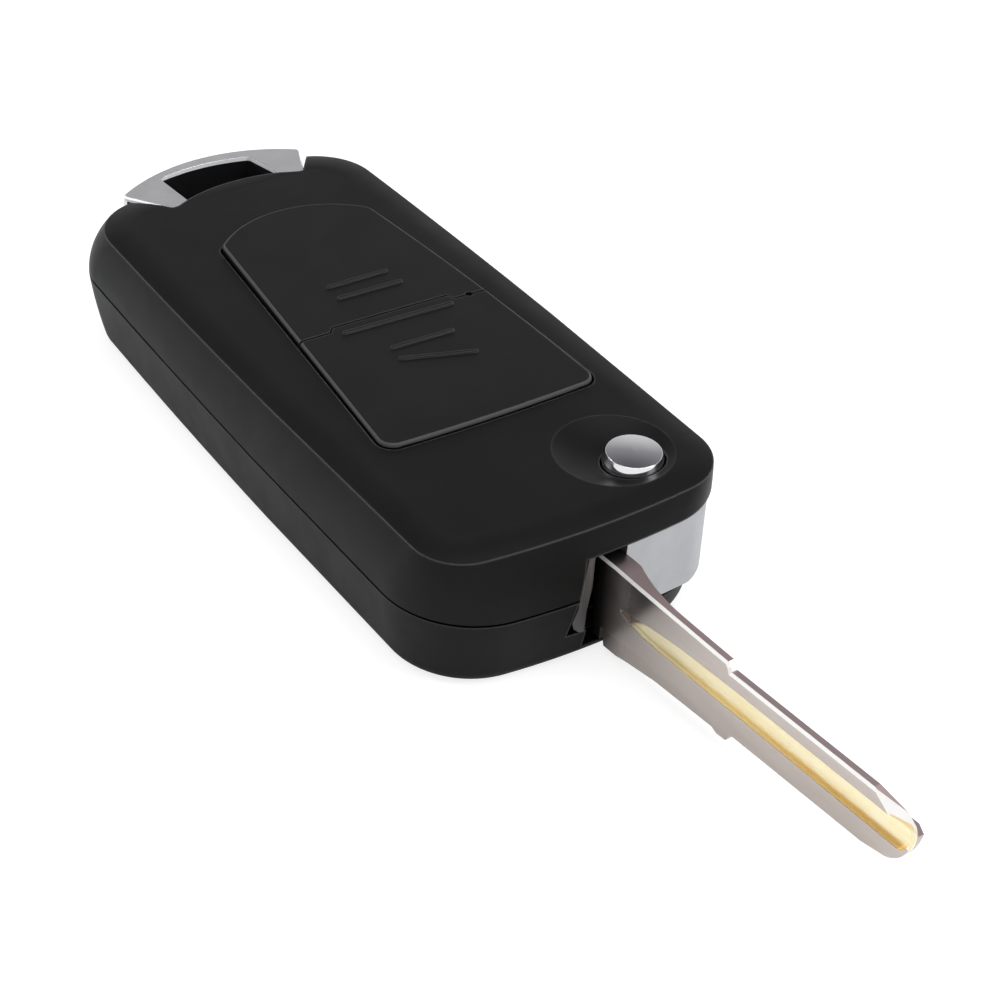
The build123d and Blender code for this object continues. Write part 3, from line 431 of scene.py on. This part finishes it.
# One material for each slot in the record
MATERIALS = {
    # Case and pad: the lighter colour along their edges and on the pad's slopes is a painted highlight
    "shell_plastic": lambda: plastic(
        "shell_black", (0.0030, 0.0030, 0.0033), (0.0052, 0.0052, 0.0056), rough=0.42,
        gloss=0.115, edge=0.0003, edge_highlight=(0.09, 0.09, 0.093), seam=True,
    ),
    "pad_plastic": lambda: plastic(
        "pad_black", (0.0040, 0.0040, 0.0044), (0.0064, 0.0064, 0.0068), rough=0.44,
        gloss=0.13, edge=0.0002, edge_highlight=(0.06, 0.06, 0.062), lit_slopes=True,
    ),
    "bow_chrome": bow_chrome,
    "button_chrome": lambda: metal(
        "button_chrome", (0.88, 0.88, 0.89), (0.92, 0.92, 0.93), rough=0.05, spread=0.02, edge=0.0001,
    ),
    "stop_steel": lambda: metal(
        "stop_steel", (0.12, 0.12, 0.125), (0.18, 0.18, 0.185), rough=0.35,
        stretch=(1.0, 1.0, 0.2), scale=900.0, strength=0.1, edge=0.00015,
    ),
    "plunger_zinc": lambda: metal(
        "plunger_zinc", (0.45, 0.46, 0.47), (0.55, 0.56, 0.57), rough=0.4,
    ),
    "carrier_silver": lambda: metal(
        "carrier_silver", (0.42, 0.425, 0.44), (0.48, 0.485, 0.50), rough=0.45, strength=0.06,
    ),
    "blade_nickel": blade_nickel,
    "pin_steel": lambda: metal(
        "pin_steel", (0.45, 0.45, 0.46), (0.60, 0.60, 0.61), rough=0.32,
    ),
    "spring_steel": lambda: metal(
        "spring_steel", (0.50, 0.50, 0.50), (0.64, 0.64, 0.64), rough=0.30,
    ),
    "membrane_rubber": lambda: plastic(
        "membrane_rubber", (0.05, 0.05, 0.055), (0.07, 0.07, 0.075), rough=0.65,
    ),
    "board_green": lambda: plastic(
        "board_green", (0.008, 0.07, 0.025), (0.012, 0.10, 0.04), rough=0.30,
    ),
    "switch_metal": lambda: metal(
        "switch_metal", (0.55, 0.55, 0.56), (0.70, 0.70, 0.71), rough=0.28,
    ),
    "chip_black": lambda: plastic(
        "chip_black", (0.012, 0.012, 0.012), (0.02, 0.02, 0.02), rough=0.5,
    ),
    "ceramic_tan": lambda: plastic(
        "ceramic_tan", (0.30, 0.22, 0.13), (0.38, 0.28, 0.17), rough=0.4,
    ),
    "ferrite_grey": lambda: plastic(
        "ferrite_grey", (0.06, 0.055, 0.055), (0.09, 0.085, 0.085), rough=0.5,
    ),
    "lamp_clear": lambda: plastic(
        "lamp_clear", (0.55, 0.12, 0.09), (0.65, 0.18, 0.12), rough=0.15,
    ),
    "cell_steel": lambda: metal(
        "cell_steel", (0.60, 0.60, 0.61), (0.72, 0.72, 0.73), rough=0.25,
    ),
    "tray_plastic": lambda: plastic(
        "tray_plastic", (0.04, 0.04, 0.045), (0.06, 0.06, 0.065), rough=0.5,
    ),
}


def dress():
    made = {slot: build() for slot, build in MATERIALS.items()}
    for part in frame["record"]["subparts"]:
        piece = frame["nodes"][part["node"]]
        for place in piece.material_slots:
            place.material = made[part["material_slot"]]


def set_camera():
    data = bpy.data.cameras.new("camera")
    camera = bpy.data.objects.new("camera", data)
    bpy.context.scene.collection.objects.link(camera)
    forward = (TARGET - EYE).normalized()
    right = forward.cross(Vector(UP)).normalized()
    up = right.cross(forward)
    roll = math.radians(ROLL_DEG)
    right_rolled = right * math.cos(roll) + up * math.sin(roll)
    up_rolled = up * math.cos(roll) - right * math.sin(roll)
    turn = Matrix((right_rolled, up_rolled, -forward)).transposed()
    camera.matrix_world = Matrix.Translation(EYE) @ turn.to_4x4()
    data.sensor_fit = "HORIZONTAL"
    data.sensor_width = SENSOR_WIDTH
    data.lens = SENSOR_WIDTH * FOCAL_WIDTHS
    data.clip_start = CLIP_NEAR
    data.clip_end = CLIP_FAR
    bpy.context.scene.camera = camera


def area_light(name, place, size, power):
    data = bpy.data.lights.new(name, "AREA")
    data.shape = "SQUARE"
    data.size = size
    data.energy = power
    light = bpy.data.objects.new(name, data)
    bpy.context.scene.collection.objects.link(light)
    light.location = place
    light.rotation_euler = (Vector(LAMP_AIM) - Vector(place)).to_track_quat("-Z", "Y").to_euler()


def set_light():
    for name, place, size, power in LAMPS:
        area_light(name, place, size, power)


def by_camera(tree):
    return tree.nodes.new("ShaderNodeLightPath").outputs["Is Camera Ray"]


# 1 for the camera, reflections and what is seen through glass, 0 for the light that falls on the object
def seen_directly(tree):
    path = tree.nodes.new("ShaderNodeLightPath")
    metal_or_eye = larger(tree, path.outputs["Is Camera Ray"], path.outputs["Is Glossy Ray"])
    return larger(tree, metal_or_eye, path.outputs["Is Transmission Ray"])


def seen_strength(tree, in_metal, to_camera):
    made = tree.nodes.new("ShaderNodeMapRange")
    made.inputs["To Min"].default_value = in_metal
    made.inputs["To Max"].default_value = to_camera
    tree.links.new(by_camera(tree), made.inputs["Value"])
    return made.outputs["Result"]


def shader_mix(tree, factor, first, second):
    made = tree.nodes.new("ShaderNodeMixShader")
    tree.links.new(factor, made.inputs["Fac"])
    tree.links.new(first, made.inputs[1])
    tree.links.new(second, made.inputs[2])
    return made.outputs["Shader"]


def set_world():
    world = bpy.data.worlds.new("studio")
    bpy.context.scene.world = world
    world.use_nodes = True
    tree = world.node_tree
    white = tree.nodes["Background"]
    white.inputs["Color"].default_value = (*WHITE, 1.0)
    white.inputs["Strength"].default_value = 1.0
    room = tree.nodes.new("ShaderNodeBackground")
    split = tree.nodes.new("ShaderNodeSeparateXYZ")
    tree.links.new(tree.nodes.new("ShaderNodeTexCoord").outputs["Generated"], split.inputs["Vector"])
    tree.links.new(ramp(tree, split.outputs["Z"], ROOM_STOPS), room.inputs["Color"])
    ambient = tree.nodes.new("ShaderNodeBackground")
    ambient.inputs["Color"].default_value = (*AMBIENT_TINT, 1.0)
    ambient.inputs["Strength"].default_value = AMBIENT
    lit = shader_mix(tree, seen_directly(tree), ambient.outputs["Background"], room.outputs["Background"])
    shown = shader_mix(tree, by_camera(tree), lit, white.outputs["Background"])
    tree.links.new(shown, tree.nodes["World Output"].inputs["Surface"])


def set_floor():
    mesh = bpy.data.meshes.new("floor")
    half = FLOOR_HALF
    corners = [(-half, -half, 0), (half, -half, 0), (half, half, 0), (-half, half, 0)]
    mesh.from_pydata(corners, [], [(0, 1, 2, 3)])
    floor = bpy.data.objects.new("floor", mesh)
    bpy.context.scene.collection.objects.link(floor)
    material, tree, shader = new_material("floor_white")
    color = tones(tree, noise(tree, FLOOR_TONE_SCALE), grey(FLOOR_DARK), grey(FLOOR_LIGHT))
    tree.links.new(color, shader.inputs["Base Color"])
    shader.inputs["Roughness"].default_value = FLOOR_ROUGH
    shader.inputs["Specular IOR Level"].default_value = 0.0
    shadowed = tree.nodes.new("ShaderNodeBsdfDiffuse")
    tree.links.new(seen_strength(tree, FLOOR_IN_METAL_SHADOW, FLOOR_SHADOW), shadowed.inputs["Color"])
    glow = tree.nodes.new("ShaderNodeEmission")
    glow.inputs["Color"].default_value = (*WHITE, 1.0)
    tree.links.new(seen_strength(tree, FLOOR_IN_METAL, FLOOR_GLOW), glow.inputs["Strength"])
    both = tree.nodes.new("ShaderNodeAddShader")
    tree.links.new(shadowed.outputs["BSDF"], both.inputs[0])
    tree.links.new(glow.outputs["Emission"], both.inputs[1])
    shown = shader_mix(tree, seen_directly(tree), shader.outputs["BSDF"], both.outputs["Shader"])
    tree.links.new(shown, tree.nodes["Material Output"].inputs["Surface"])
    mesh.materials.append(material)


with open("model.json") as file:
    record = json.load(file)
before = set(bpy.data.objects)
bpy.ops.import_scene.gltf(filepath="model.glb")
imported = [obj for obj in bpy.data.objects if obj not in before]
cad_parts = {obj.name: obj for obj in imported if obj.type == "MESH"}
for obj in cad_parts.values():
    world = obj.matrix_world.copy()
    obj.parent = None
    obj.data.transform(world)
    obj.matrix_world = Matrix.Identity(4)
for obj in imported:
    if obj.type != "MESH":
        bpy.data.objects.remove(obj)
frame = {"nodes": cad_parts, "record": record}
bpy.context.scene.view_settings.view_transform = "Standard"
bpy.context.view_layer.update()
dress()
set_camera()
set_world()
set_floor()
set_light()
